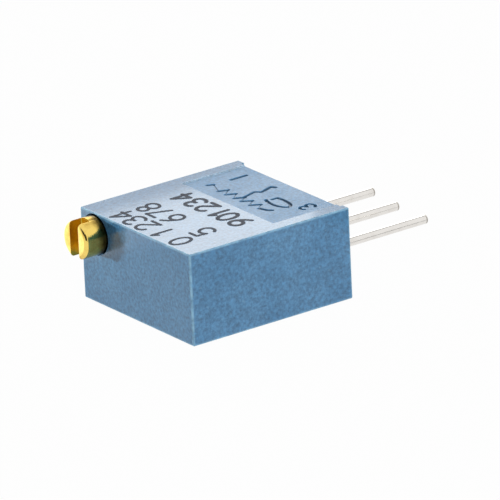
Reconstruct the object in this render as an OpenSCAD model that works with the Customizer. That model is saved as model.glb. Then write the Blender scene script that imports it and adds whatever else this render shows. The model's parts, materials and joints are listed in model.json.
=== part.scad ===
// Multi-turn trimmer potentiometer, 3/8 inch square, adjusted from the end opposite its pins.
//
// The part lies on its back face. X runs along the screw: the pins point to +X and the slotted head
// to -X. Z is normal to the printed face. The origin is on the middle pin's axis, in the plane that
// sits on the circuit board.

/* [Body] */
// Length along the screw, from the screw end to the board
body_len = 10.03; // [9.8:0.01:12]
// Width across the row of pins
body_w = 9.53; // [9.3:0.01:12]
// Height from the back face to the printed face
body_h = 4.95; // [4.85:0.01:6]
// Radius of the outer edges
edge_r = 0.08; // [0.05:0.01:0.2]
// Thickness of the two side walls
side_wall = 0.5; // [0.4:0.01:0.6]
// Thickness of the wall at the screw end
front_wall = 0.6; // [0.5:0.01:0.8]
// Thickness of the printed wall
top_wall = 0.55; // [0.5:0.01:0.6]
// Thickness of the back wall
back_wall = 0.55; // [0.4:0.01:0.65]
// Standoff of the two rails beyond the rest of the pin end
rail = 0.2; // [0.1:0.01:0.4]
// Clearance between pieces that slide together
fit_gap = 0.03; // [0.02:0.005:0.05]

/* [Recess in the printed face] */
// Length of the recess from the board plane
recess_len = 4.2; // [3.5:0.05:5]
// Rim left at each side of the recess
recess_rim = 0.82; // [0.6:0.01:1.5]
// Depth of the recess
recess_depth = 0.06; // [0.04:0.01:0.2]

/* [Adjusting screw] */
// Distance of the screw's axis from the side face
screw_side = 1.27; // [1.25:0.01:1.35]
// Distance of the screw's axis from the printed face
screw_top = 1.18; // [1.17:0.01:1.3]
// Diameter of the slotted head
head_d = 2.06; // [1.9:0.01:2.1]
// Length of the head outside the housing
head_out = 1.32; // [1:0.02:2]
// Length of the head inside its bore
head_in = 1.16; // [1:0.02:1.3]
// Rounding of the end of the head
head_round = 0.2; // [0.05:0.01:0.25]
// Width of the screwdriver slot
slot_w = 0.75; // [0.5:0.01:0.8]
// Depth of the screwdriver slot
slot_depth = 0.76; // [0.6:0.01:1]
// Diameter of the journal behind the head
journal_d = 1.4; // [1.38:0.01:1.44]
// Radial clearance of the head and the journal in their bores
screw_gap = 0.03; // [0.02:0.005:0.04]
// Diameter at the bottom of the retainer groove
groove_d = 0.9; // [0.8:0.01:1]
// Diameter of the plain tip beyond the worm
tip_d = 0.7; // [0.6:0.01:0.72]
// Length of the plain tip
tip_len = 0.4; // [0.2:0.05:0.6]

/* [Seal and retainer] */
// Play of the sealing ring in its chamber
seal_play = 0.01; // [0.005:0.001:0.015]
// Length of the journal's bearing behind the seal
bearing_len = 0.65; // [0.5:0.01:0.7]
// Thickness of the retainer clip
clip_t = 0.25; // [0.2:0.01:0.3]
// Reach of the retainer clip from the screw's axis into the gear chamber
clip_reach = 1; // [0.9:0.01:1.1]
// Wall of the screw boss round the head's bore
boss_wall = 0.2; // [0.15:0.01:0.25]

/* [Worm and wheel] */
// Number of teeth on the worm wheel
teeth = 32; // [28:1:36]
// Pitch radius of the worm
worm_pitch_r = 0.55; // [0.54:0.005:0.57]
// Height of a tooth above the pitch line
addendum = 0.13; // [0.1:0.005:0.13]
// Clearance below a tooth's tip
tip_clearance = 0.03; // [0.02:0.005:0.04]
// Flank angle of the worm's thread
flank_angle = 20; // [14:1:25]
// Play along the pitch line between thread and tooth
backlash = 0.08; // [0.06:0.005:0.1]
// Length of the worm's thread
worm_len = 3.2; // [2.6:0.05:3.4]
// Thickness of the toothed rim
rim_t = 0.9; // [0.7:0.01:1]
// Radius of the disc that carries the wiper
disc_r = 2.75; // [2.6:0.01:2.78]
// Radius of the wheel's pivot post
post_r = 0.6; // [0.5:0.01:0.7]
// Radius of the thrust ring round the post
thrust_r = 1.1; // [0.9:0.01:1.3]
// Running clearance of the wheel
wheel_gap = 0.04; // [0.03:0.005:0.05]

/* [Pins] */
// Distance between neighbouring pins
pin_pitch = 2.54; // [2.5:0.01:2.6]
// Diameter of the round wire
pin_d = 0.5; // [0.44:0.01:0.52]
// Free length of pin 1 beyond the board plane
pin_1_len = 6.87; // [3:0.01:12]
// Free length of pin 2 beyond the board plane
pin_2_len = 6.52; // [3:0.01:12]
// Free length of pin 3 beyond the board plane
pin_3_len = 6.44; // [3:0.01:12]
// Height of the row of pins above the back face
pin_height = 2.07; // [2.05:0.01:2.1]
// Thickness of the flattened end
coin_t = 0.26; // [0.22:0.01:0.28]
// Width of the flattened end
coin_w = 0.7; // [0.6:0.01:0.8]
// Length of round wire inside the potting
root_len = 0.15; // [0.1:0.01:0.2]
// Depth of the potting's face behind the pin end
potting_dip = 0.05; // [0.02:0.01:0.1]
// Thickness of the potting
potting_t = 0.8; // [0.6:0.05:0.9]

/* [Resistance element] */
// Thickness of the ceramic plate
ceramic_t = 0.64; // [0.5:0.01:0.66]
// Thickness of the printed films
film_t = 0.03; // [0.02:0.005:0.04]
// Mean radius of the resistance track
track_r = 2.2; // [2.1:0.01:2.3]
// Width of the resistance track
track_w = 0.7; // [0.5:0.01:0.8]
// Half of the track's arc
track_half = 147; // [143:0.5:149]
// Outer radius of the collector ring
collector_r = 1.25; // [1.15:0.01:1.3]
// Inner radius of the collector ring
collector_hole = 0.55; // [0.4:0.01:0.6]
// Width of the conductors that lead to the pins
lead_w = 0.6; // [0.5:0.01:0.65]

/* [Wiper] */
// Thickness of the contact spring
spring_t = 0.1; // [0.06:0.01:0.12]
// Angle of the wiper at rest
wiper_angle = 177.19; // [170:0.01:180]
// Width of one finger
finger_w = 0.16; // [0.12:0.01:0.18]
// Gap between fingers
finger_gap = 0.06; // [0.05:0.005:0.08]
// Height of the fingertips above the films
contact_gap = 0.02; // [0.01:0.005:0.03]

/* [End cover] */
// Thickness of the end cover
cover_t = 0.5; // [0.4:0.01:0.55]
// Clearance of the end cover round the pins
cover_gap = 0.06; // [0.04:0.01:0.1]

/* [Hidden] */
$fn = 48;

// The block and its chamber
half_w = body_w / 2;
z_back = -pin_height;
z_print = z_back + body_h;
x_screw_end = -body_len;
chamber_y = half_w - side_wall;
chamber_x = x_screw_end + front_wall;
chamber_floor = z_back + back_wall;
chamber_roof = z_print - top_wall;
corner_sides = 24;

// Stations along the screw
screw_y = half_w - screw_side;
screw_z = z_print - screw_top;
head_bore_r = head_d / 2 + screw_gap;
journal_bore_r = journal_d / 2 + screw_gap;
seal_room = head_bore_r - journal_d / 2;
seal_section = seal_room - 2 * seal_play;
x_head = x_screw_end - head_out;
x_shoulder = x_screw_end + head_in;
x_step = x_shoulder + seal_room;
x_boss = x_step + bearing_len;
x_groove = x_boss + clip_t + 2 * fit_gap;
collar_len = 0.2;

// Worm and wheel, meshing at the wheel's +Y side
wheel_pitch_r = screw_y - worm_pitch_r;
pitch = 2 * PI * wheel_pitch_r / teeth;
lead_angle = atan(pitch / (2 * PI * worm_pitch_r));
dedendum = addendum + tip_clearance;
worm_r = worm_pitch_r + addendum;
worm_root_r = worm_pitch_r - dedendum;
wheel_r = wheel_pitch_r + addendum;
wheel_root_r = wheel_pitch_r - dedendum;
tooth_half = (pitch - backlash) / 4;
trough_gap = 0.07;
trough_r = worm_r + trough_gap;
overlap = 0.05;

// Levels of the wheel, the spring and the element, from the films on the plate upwards
z_film = -coin_t / 2;
z_plate = z_film - film_t;
z_plate_back = z_plate - ceramic_t;
z_touch = z_film + contact_gap;
spring_drop = 0.4;
z_spring = z_touch + spring_drop;
z_disc = z_spring + spring_t;
z_rim = screw_z - rim_t / 2;
z_rim_top = screw_z + rim_t / 2;
pocket_dip = 0.1;
pocket_floor = z_rim - pocket_dip;
hub_r = thrust_r;
rim_wall = 0.55;
pocket_r = wheel_root_r - rim_wall;
post_lift = 0.1;
stake_r = 0.15;
stake_at = 1.75;
stake_head = 0.06;
stake_gap = 0.01;

// End stops of the wheel: a lug in its pocket meets a block on the chamber's roof
lug_half = 14;
stop_half = 24.5;
stop_gap = 0.15;
stop_lift = 0.4;
stop_inner = hub_r + stop_gap;
stop_outer = pocket_r - stop_gap;

// Stations at the pin end
x_potting = -rail - potting_dip;
x_plate_end = x_potting - potting_t;
x_root = x_potting - root_len;
x_cover = x_plate_end - cover_t;
pad_gap = 0.05;
x_pad_end = x_cover - pad_gap;
tongue_on_plate = 1.2;
x_tongue = x_plate_end - tongue_on_plate;
pad_margin = 0.15;
x_pad = x_tongue - pad_margin;
pad_side = 0.2;
pad_inner_y = coin_w / 2 + pad_side + 0.1;
pad_arc = 14;
solder_foot = 0.16;
solder_top = 0.03;
solder_rise = 0.7 * coin_t;

// The wheel stands midway between the retainer clip and the end cover
x_clip = x_boss + fit_gap + clip_t;
clip_side = screw_y - clip_reach;
x_wheel_first = x_clip + sqrt(wheel_r * wheel_r - clip_side * clip_side);
x_wheel_last = x_cover - wheel_r;
x_wheel = (x_wheel_first + x_wheel_last) / 2;
lip_h = 0.3;
lip_w = 0.3;
rib_w = 0.5;
rib_at = 3.4;
dam_t = 0.4;

// Places its children on the screw's axis, with their Z along the screw
module on_screw() {
    translate([0, screw_y, screw_z]) rotate([0, 90, 0]) children();
}

// Places its children on the wheel's axis
module on_wheel() {
    translate([x_wheel, 0, 0]) children();
}

// A ring or a part of one: inner and outer radius, bottom and top, start angle and arc
module ring_part(inner, outer, bottom, top, start = 0, arc = 360) {
    rotate([0, 0, start])
        rotate_extrude(angle = arc)
            translate([inner, bottom])
                square([outer - inner, top - bottom]);
}

// A box given by its lowest and highest corners
module span(low, high) {
    translate(low) cube(high - low);
}

// The outer block with all its edges rounded
module block() {
    translate([-body_len / 2, 0, z_back + body_h / 2])
        hull()
            for (x = [-1, 1], y = [-1, 1], z = [-1, 1])
                translate([x * (body_len / 2 - edge_r), y * (half_w - edge_r), z * (body_h / 2 - edge_r)])
                    sphere(r = edge_r / cos(180 / corner_sides), $fn = corner_sides);
}

// Section of the chamber between two stations: a box with a trough for the worm in its upper corner
module chamber_run(x0, x1, gap = 0) {
    span([x0, -chamber_y + gap, chamber_floor + gap], [x1, chamber_y - gap, chamber_roof - gap]);
    translate([x0, 0, 0])
        on_screw()
            cylinder(r = trough_r - gap, h = x1 - x0);
}

// The lips that keep the plate down, one on each side wall
module lips(x0, x1, gap = 0) {
    for (side = [-1, 1])
        span([x0, side > 0 ? chamber_y - lip_w - gap : -chamber_y - gap, z_plate + fit_gap - gap],
             [x1, side > 0 ? chamber_y + gap : -chamber_y + lip_w + gap, z_plate + fit_gap + lip_h + gap]);
}

// What stays standing inside the chamber
module chamber_features() {
    // boss round the screw's bores
    translate([chamber_x - overlap, 0, 0])
        on_screw()
            cylinder(r = head_bore_r + boss_wall, h = x_boss - chamber_x + overlap);
    // ribs that carry the plate, and the dam that closes the space under it
    for (y = [-rib_at, 0, rib_at])
        span([chamber_x - overlap, y - rib_w / 2, chamber_floor - overlap],
             [x_plate_end - dam_t / 2, y + rib_w / 2, z_plate_back]);
    span([x_plate_end - dam_t, -chamber_y - overlap, chamber_floor - overlap],
         [x_plate_end, chamber_y + overlap, z_plate_back]);
    lips(chamber_x - overlap, x_plate_end);
    // pivot post, thrust ring and end stop of the wheel
    on_wheel() {
        translate([0, 0, z_disc + post_lift])
            cylinder(r = post_r, h = chamber_roof - z_disc);
        translate([0, 0, z_rim_top + wheel_gap])
            cylinder(r = thrust_r, h = chamber_roof - z_rim_top);
        ring_part(stop_inner, stop_outer, pocket_floor + stop_lift, chamber_roof + overlap, -stop_half, 2 * stop_half);
    }
}

module housing() {
    color([0.23, 0.45, 0.68])
        difference() {
            block();
            difference() {
                chamber_run(chamber_x, 1);
                chamber_features();
            }
            // the pin end lies back between the rails
            span([-rail, -chamber_y, z_back - 1], [1, chamber_y, z_print + 1]);
            // recess in the printed face
            span([-recess_len, -half_w + recess_rim, z_print - recess_depth],
                 [1, half_w - recess_rim, z_print + 1]);
            // bores for the head and the journal
            translate([x_screw_end - 1, 0, 0])
                on_screw()
                    cylinder(r = head_bore_r, h = 1 + x_step - x_screw_end);
            translate([x_step - overlap, 0, 0])
                on_screw()
                    cylinder(r = journal_bore_r, h = bearing_len + 2 * overlap);
        }
}

// Radius of the worm's section at an angle from the middle of its thread
function worm_radius(angle) =
    let (x = abs(angle) / 360 * pitch,
         crest = tooth_half - addendum * tan(flank_angle),
         root = tooth_half + dedendum * tan(flank_angle),
         share = (x - crest) / (root - crest))
    worm_r - (worm_r - worm_root_r) * min(max(share, 0), 1);

// The worm: its section turned as it advances, with a thread crest at the mesh when at rest
module worm() {
    turn = 360 * worm_len / pitch;
    step = 22.5;
    translate([x_wheel - worm_len / 2, 0, 0])
        on_screw()
            rotate([0, 0, -90 - turn / 2])
                linear_extrude(height = worm_len, twist = -turn, slices = ceil(turn / step), $fn = 16)
                    polygon([for (a = [-180 : step : 179]) worm_radius(a) * [cos(a), sin(a)]]);
}

module adjusting_screw() {
    tip_r = tip_d / 2;
    x_worm = x_wheel - worm_len / 2;
    x_worm_end = x_wheel + worm_len / 2;
    color([0.78, 0.60, 0.25])
        difference() {
            union() {
                on_screw()
                    rotate_extrude()
                        polygon(concat(
                            [[0, x_head]],
                            [for (a = [90 : -15 : 0])
                                [head_d / 2 - head_round * (1 - cos(a)), x_head + head_round * (1 - sin(a))]],
                            [
                                [head_d / 2, x_shoulder], [journal_d / 2, x_shoulder],
                                [journal_d / 2, x_boss], [groove_d / 2, x_boss],
                                [groove_d / 2, x_groove], [journal_d / 2, x_groove],
                                [journal_d / 2, x_groove + collar_len], [tip_r, x_groove + collar_len],
                                [tip_r, x_worm + overlap], [0, x_worm + overlap]
                            ]
                        ));
                worm();
                translate([x_worm_end - overlap, 0, 0])
                    on_screw()
                        cylinder(r = tip_r, h = tip_len + overlap);
            }
            span([x_head - 1, screw_y - slot_w / 2, screw_z - head_d],
                 [x_head + slot_depth, screw_y + slot_w / 2, screw_z + head_d]);
        }
}

module screw_seal() {
    color([0.1, 0.1, 0.1])
        translate([x_shoulder + seal_room / 2, 0, 0])
            on_screw()
                rotate_extrude()
                    translate([journal_d / 2 + seal_room / 2, 0])
                        circle(d = seal_section);
}

// U-shaped clip, pushed up into the screw's groove and flat against the boss
module screw_retainer() {
    slot_r = groove_d / 2 + fit_gap;
    color([0.75, 0.76, 0.78])
        translate([x_boss + fit_gap, 0, 0])
            difference() {
                intersection() {
                    on_screw()
                        cylinder(r = clip_reach, h = clip_t);
                    span([-1, 0, 0], [1, chamber_y - fit_gap, chamber_roof - fit_gap]);
                }
                translate([-1, 0, 0])
                    on_screw()
                        cylinder(r = slot_r, h = 2);
                span([-1, screw_y - slot_r, screw_z], [1, screw_y + slot_r, z_print]);
            }
}

// One tooth of the wheel at +Y, leaning with the worm's lead
module wheel_tooth() {
    tip = tooth_half - addendum * tan(flank_angle);
    root = tooth_half + dedendum * tan(flank_angle);
    translate([0, 0, screw_z])
        rotate([0, -lead_angle, 0])
            linear_extrude(height = rim_t + 0.3, center = true)
                polygon([
                    [-root, wheel_root_r - 2 * overlap], [root, wheel_root_r - 2 * overlap],
                    [root, wheel_root_r], [tip, wheel_r], [-tip, wheel_r], [-root, wheel_root_r]
                ]);
}

module worm_wheel() {
    bore = post_r + wheel_gap;
    color([0.9, 0.88, 0.8])
        on_wheel() {
            rotate_extrude()
                polygon([
                    [bore, z_disc], [disc_r, z_disc], [disc_r, z_rim], [wheel_root_r, z_rim],
                    [wheel_root_r, z_rim_top], [pocket_r, z_rim_top], [pocket_r, pocket_floor],
                    [hub_r, pocket_floor], [hub_r, z_rim_top], [bore, z_rim_top]
                ]);
            intersection() {
                ring_part(wheel_root_r - overlap, wheel_r + overlap, z_rim, z_rim_top);
                for (k = [0 : teeth - 1])
                    rotate([0, 0, (k + 0.5) * 360 / teeth])
                        wheel_tooth();
            }
            // lug that meets the end stop
            ring_part(hub_r - overlap, pocket_r + overlap, pocket_floor - overlap, z_rim_top,
                      wiper_angle - lug_half, 2 * lug_half);
            // stakes that hold the spring
            rotate([0, 0, wiper_angle])
                for (side = [-1, 1])
                    translate([0, side * stake_at, z_spring - stake_head])
                        cylinder(r = stake_r, h = z_disc - z_spring + stake_head + overlap, $fn = 24);
        }
}

// One finger of the spring: along X from its root at reach down to its tip, which curls up
module finger(reach, at) {
    t = spring_t;
    h = spring_drop;
    translate([at + finger_w / 2, 0, z_touch])
        rotate([90, 0, -90])
            linear_extrude(height = finger_w)
                polygon([
                    [-reach - overlap, h], [-reach - overlap, h + t], [-reach, h + t], [0.05, t],
                    [0.2, 2 * t], [0.25, t], [0, 0], [-reach, h]
                ]);
}

module wiper() {
    step = finger_w + finger_gap;
    outer_reach = 0.9;
    inner_reach = 0.6;
    window = 0.3;
    collector_mid = (collector_r + collector_hole) / 2;
    color([0.85, 0.74, 0.5])
        on_wheel()
            rotate([0, 0, wiper_angle]) {
                difference() {
                    translate([0, 0, z_spring])
                        cylinder(r = disc_r - 0.15, h = spring_t);
                    translate([0, 0, z_spring - 1])
                        cylinder(r = 0.4, h = 2);
                    span([track_r - 2 * step, -outer_reach, z_spring - 1], [track_r + 2 * step, window, z_disc + 1]);
                    span([-collector_mid - step, -inner_reach, z_spring - 1],
                         [-collector_mid + step, window, z_disc + 1]);
                    for (side = [-1, 1])
                        translate([0, side * stake_at, z_spring - 1])
                            cylinder(r = stake_r + stake_gap, h = 2, $fn = 24);
                }
                for (k = [-1.5 : 1.5])
                    finger(outer_reach, track_r + k * step);
                for (k = [-0.5 : 0.5])
                    finger(inner_reach, -collector_mid + k * step);
            }
}

module ceramic_element() {
    color([0.93, 0.92, 0.88])
        span([chamber_x + fit_gap, -chamber_y + fit_gap, z_plate_back],
             [x_plate_end, chamber_y - fit_gap, z_plate]);
}

module resistance_track() {
    color([0.15, 0.14, 0.14])
        on_wheel()
            ring_part(track_r - track_w / 2, track_r + track_w / 2, z_plate, z_film,
                      180 - track_half, 2 * track_half);
}

module collector_track() {
    color([0.8, 0.79, 0.76]) {
        on_wheel()
            ring_part(collector_hole, collector_r, z_plate, z_film);
        span([x_wheel + collector_r - overlap, -lead_w / 2, z_plate], [x_pad_end, lead_w / 2, z_film]);
        span([x_pad, -coin_w / 2 - pad_side / 2, z_plate], [x_pad_end, coin_w / 2 + pad_side / 2, z_film]);
    }
}

// Conductor from one end of the track to a pin: side is 1 for pin 1 and -1 for pin 3
module end_pad(side) {
    end_angle = 180 - track_half;
    color([0.8, 0.79, 0.76])
        mirror([0, side > 0 ? 0 : 1, 0]) {
            on_wheel()
                ring_part(track_r - track_w / 2, track_r + track_w / 2, z_plate, z_film,
                          end_angle - pad_arc, pad_arc);
            span([x_wheel + track_r, pad_inner_y, z_plate], [x_pad + overlap, pad_inner_y + lead_w, z_film]);
            span([x_pad, pad_inner_y, z_plate], [x_pad_end, pin_pitch + coin_w / 2 + pad_side, z_film]);
        }
}

// A pin at its place in the row; where only its root matters it ends at the board plane
module terminal_pin(y, x_tip = 0) {
    r = pin_d / 2;
    tip = 0.06;
    corner = 0.15;
    color([0.86, 0.86, 0.87])
        translate([0, y, 0]) {
            rotate([0, 90, 0])
                rotate_extrude()
                    polygon(concat(
                        [[0, x_root], [r, x_root]],
                        [for (a = [0 : 30 : 90]) [r - tip + tip * cos(a), x_tip - tip + tip * sin(a)]],
                        [[0, x_tip]]
                    ));
            translate([0, 0, -coin_t / 2])
                linear_extrude(height = coin_t)
                    polygon([
                        [x_root + overlap, -coin_w / 2], [x_root + overlap, coin_w / 2],
                        [x_tongue + corner, coin_w / 2], [x_tongue, coin_w / 2 - corner],
                        [x_tongue, -coin_w / 2 + corner], [x_tongue + corner, -coin_w / 2]
                    ]);
        }
}

// Solder fillet round the flattened end of a pin
module solder_joint(y) {
    color([0.7, 0.71, 0.73])
        difference() {
            translate([x_tongue - pad_margin / 2, y, z_film])
                rotate([90, 0, 90])
                    linear_extrude(height = x_pad_end - x_tongue)
                        polygon([
                            [-coin_w / 2 - solder_foot, 0], [coin_w / 2 + solder_foot, 0],
                            [coin_w / 2 + solder_top, solder_rise], [-coin_w / 2 - solder_top, solder_rise]
                        ]);
            terminal_pin(y);
        }
}

module end_cover() {
    color([0.2, 0.2, 0.22])
        difference() {
            intersection() {
                chamber_run(x_cover, x_plate_end, fit_gap);
                span([x_cover - 1, -half_w, z_plate + 0.02], [x_plate_end + 1, half_w, z_print]);
            }
            lips(x_cover - 1, x_plate_end + 1, fit_gap);
            for (y = [-pin_pitch, 0, pin_pitch])
                span([x_cover - 1, y - coin_w / 2 - cover_gap, z_plate - 1],
                     [x_plate_end + 1, y + coin_w / 2 + cover_gap, coin_t / 2 + cover_gap]);
        }
}

module potting_seal() {
    color([0.12, 0.2, 0.35])
        difference() {
            chamber_run(x_plate_end, x_potting);
            for (y = [-pin_pitch, 0, pin_pitch])
                terminal_pin(y);
        }
}

housing();
adjusting_screw();
screw_seal();
screw_retainer();
worm_wheel();
wiper();
ceramic_element();
resistance_track();
collector_track();
end_pad(1);  // end_pad_1
end_pad(-1);  // end_pad_3
terminal_pin(pin_pitch, pin_1_len);  // terminal_pin_1
terminal_pin(0, pin_2_len);  // terminal_pin_2
terminal_pin(-pin_pitch, pin_3_len);  // terminal_pin_3
solder_joint(pin_pitch);  // solder_joint_1
solder_joint(0);  // solder_joint_2
solder_joint(-pin_pitch);  // solder_joint_3
end_cover();
potting_seal();
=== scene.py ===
"""Looks of a multi-turn trimmer potentiometer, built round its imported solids.

Lengths in the classes are in millimetres and become metres where a piece is placed. X runs along
the adjusting screw towards the pins, Z is normal to the printed face, and the part lies on its
back face.
"""

import json
import logging
import math
from dataclasses import dataclass, replace
from enum import Enum
from typing import Sequence

import bmesh
import bpy
from mathutils import Matrix, Vector


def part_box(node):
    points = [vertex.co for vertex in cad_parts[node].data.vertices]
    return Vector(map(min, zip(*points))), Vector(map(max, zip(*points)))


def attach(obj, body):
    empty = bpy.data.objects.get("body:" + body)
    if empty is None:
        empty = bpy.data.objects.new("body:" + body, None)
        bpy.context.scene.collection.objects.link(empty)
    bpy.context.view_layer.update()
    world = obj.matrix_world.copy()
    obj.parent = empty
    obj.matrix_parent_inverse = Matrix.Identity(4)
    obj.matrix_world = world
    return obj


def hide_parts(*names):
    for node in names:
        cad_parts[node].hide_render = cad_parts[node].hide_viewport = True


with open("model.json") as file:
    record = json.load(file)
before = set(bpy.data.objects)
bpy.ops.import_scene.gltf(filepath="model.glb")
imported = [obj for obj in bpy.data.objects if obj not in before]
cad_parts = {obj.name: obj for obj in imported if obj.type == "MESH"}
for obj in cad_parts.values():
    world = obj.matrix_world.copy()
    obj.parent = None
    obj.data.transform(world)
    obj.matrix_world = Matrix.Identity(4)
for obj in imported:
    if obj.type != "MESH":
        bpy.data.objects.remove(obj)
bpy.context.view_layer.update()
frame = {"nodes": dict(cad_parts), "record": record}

LOG = logging.getLogger("trimmer")

Colour = tuple[float, float, float]
Point = tuple[float, float, float]
Flat = tuple[float, float]
Level = tuple[float, float, float, float]
Socket = bpy.types.NodeSocket
Value = Socket | float
Feed = Value | Sequence[float]
Shape = bmesh.types.BMesh
Material = bpy.types.Material

MM = 0.001
WHITE: Colour = (1.0, 1.0, 1.0)
GREY: Colour = (0.5, 0.5, 0.5)
BLACK: Colour = (0.0, 0.0, 0.0)
# Places nearer to each other than this count as one when faces and edges are picked.
TOUCH = 1e-3
# How near points have to be to be joined: in a solid's mesh, after a cut, on an axis or a plane.
SOLID_WELD = 3e-4
CUT_WELD = 2e-5
FINE_WELD = 1e-5
# Faces that lean on each other by less than this, in degrees, are one flat face.
FLAT_DEG = 0.6
# How many material indices the shapes of a cut share.
MATERIAL_SLOTS = 3
# The adjusting screw's axis, the distance between the pins and the radius of their wire.
SCREW_YZ: Flat = (3.495, 1.7)
PIN_PITCH = 2.54
WIRE_R = 0.25


class Body(Enum):
    """The moving groups that the pieces ride on."""

    CASE = "case"
    ADJUSTER = "adjuster"


class Cut(Enum):
    """How one shape works on another."""

    TAKE_AWAY = "DIFFERENCE"
    KEEP_SHARED = "INTERSECT"
    ADD = "UNION"


# --- Node work for the finishes ---


class NodeBoard:
    """The nodes of a material or of the world, with short calls to add them."""

    def __init__(self, owner: Material | bpy.types.World) -> None:
        """Empties the owner's nodes."""
        owner.use_nodes = True
        self.tree = owner.node_tree
        self.tree.nodes.clear()

    def fill(self, socket: Socket, value: Feed) -> None:
        """Links an input to another node's output, or gives it a value of its own."""
        if isinstance(value, Socket):
            self.tree.links.new(value, socket)
        elif socket.type == "RGBA":
            socket.default_value = (*value, 1.0)
        else:
            socket.default_value = value

    def add(
        self, kind: str, inputs: dict[int | str, Feed] | None = None, **settings: str
    ) -> bpy.types.Node:
        """Adds a node, makes its own settings and fills its inputs by their names or numbers."""
        node = self.tree.nodes.new(kind)
        for name, choice in settings.items():
            setattr(node, name, choice)
        for key, value in (inputs or {}).items():
            self.fill(node.inputs[key], value)
        return node

    def math(self, operation: str, first: Value, second: Value = 0.0) -> Socket:
        """Does a sum, such as ADD, on one or two values."""
        return self.add("ShaderNodeMath", {0: first, 1: second}, operation=operation).outputs[0]

    def level(
        self, factor: Socket, low: float, high: float, from_low: float = 0.3, from_high: float = 0.7
    ) -> Socket:
        """Maps a factor onto the range from low to high and clamps it."""
        node = self.add("ShaderNodeMapRange", {
            "Value": factor, "From Min": from_low, "From Max": from_high,
            "To Min": low, "To Max": high,
        })
        return node.outputs["Result"]

    def blend(self, share: Socket, first: Socket, second: Socket) -> Socket:
        """Mixes two surfaces: a share of 0 gives the first, 1 the second."""
        return self.add("ShaderNodeMixShader", {0: share, 1: first, 2: second}).outputs[0]


class Paint(NodeBoard):
    """A material with one shader, and the patterns that the finishes use."""

    def __init__(self, name: str) -> None:
        """Starts the material under its name."""
        self.material = bpy.data.materials.new(name)
        super().__init__(self.material)
        self.shader = self.add("ShaderNodeBsdfPrincipled")
        self.add("ShaderNodeOutputMaterial", {"Surface": self.shader.outputs["BSDF"]})

    def set(self, name: str, value: Feed) -> None:
        """Fills one of the shader's inputs."""
        self.fill(self.shader.inputs[name], value)

    def place(self, stretch: Point = (1.0, 1.0, 1.0), centre: Point = (0.0, 0.0, 0.0)) -> Socket:
        """Object coordinates in millimetres from a centre, denser along stretched axes."""
        mapping = self.add("ShaderNodeMapping", {
            "Vector": self.add("ShaderNodeTexCoord").outputs["Object"],
            "Scale": [s / MM for s in stretch],
            "Location": [-c * s for c, s in zip(centre, stretch)],
        })
        return mapping.outputs["Vector"]

    def axes(self, vector: Socket) -> tuple[Socket, ...]:
        """The X, Y and Z of a vector."""
        return tuple(self.add("ShaderNodeSeparateXYZ", {"Vector": vector}).outputs)

    def noise(self, vector: Socket, per_mm: float, detail: float = 2.0, rough: float = 0.5) -> Socket:
        """Cloudy noise around 0.5: features for each millimetre, octaves and their weight."""
        node = self.add("ShaderNodeTexNoise", {
            "Vector": vector, "Scale": per_mm, "Detail": detail, "Roughness": rough,
        })
        return node.outputs["Fac"]

    def ramp(self, factor: Socket, stops: Flat, *colours: Colour) -> Socket:
        """Turns a factor into a colour: the first up to one stop, the second from the other."""
        node = self.add("ShaderNodeValToRGB", {"Fac": factor})
        for point, at, colour in zip(node.color_ramp.elements, stops, colours):
            point.position = at
            point.color = (*colour, 1.0)
        return node.outputs["Color"]

    def mix(self, factor: Socket, first: Socket, second: Colour) -> Socket:
        """Mixes a colour in: a factor of 0 gives the first, 1 the second."""
        node = self.add("ShaderNodeMix", {0: factor, 6: first, 7: second}, data_type="RGBA")
        return node.outputs[2]

    def shade(self, colour: Socket, by: Socket) -> Socket:
        """A colour times a value."""
        node = self.add("ShaderNodeVectorMath", {0: colour, "Scale": by}, operation="SCALE")
        return node.outputs[0]

    def bump(self, height: Socket, depth_mm: float) -> None:
        """Roughens the surface with a height pattern whose depth is in millimetres."""
        node = self.add("ShaderNodeBump", {"Distance": depth_mm * MM, "Height": height})
        self.set("Normal", node.outputs["Normal"])


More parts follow.
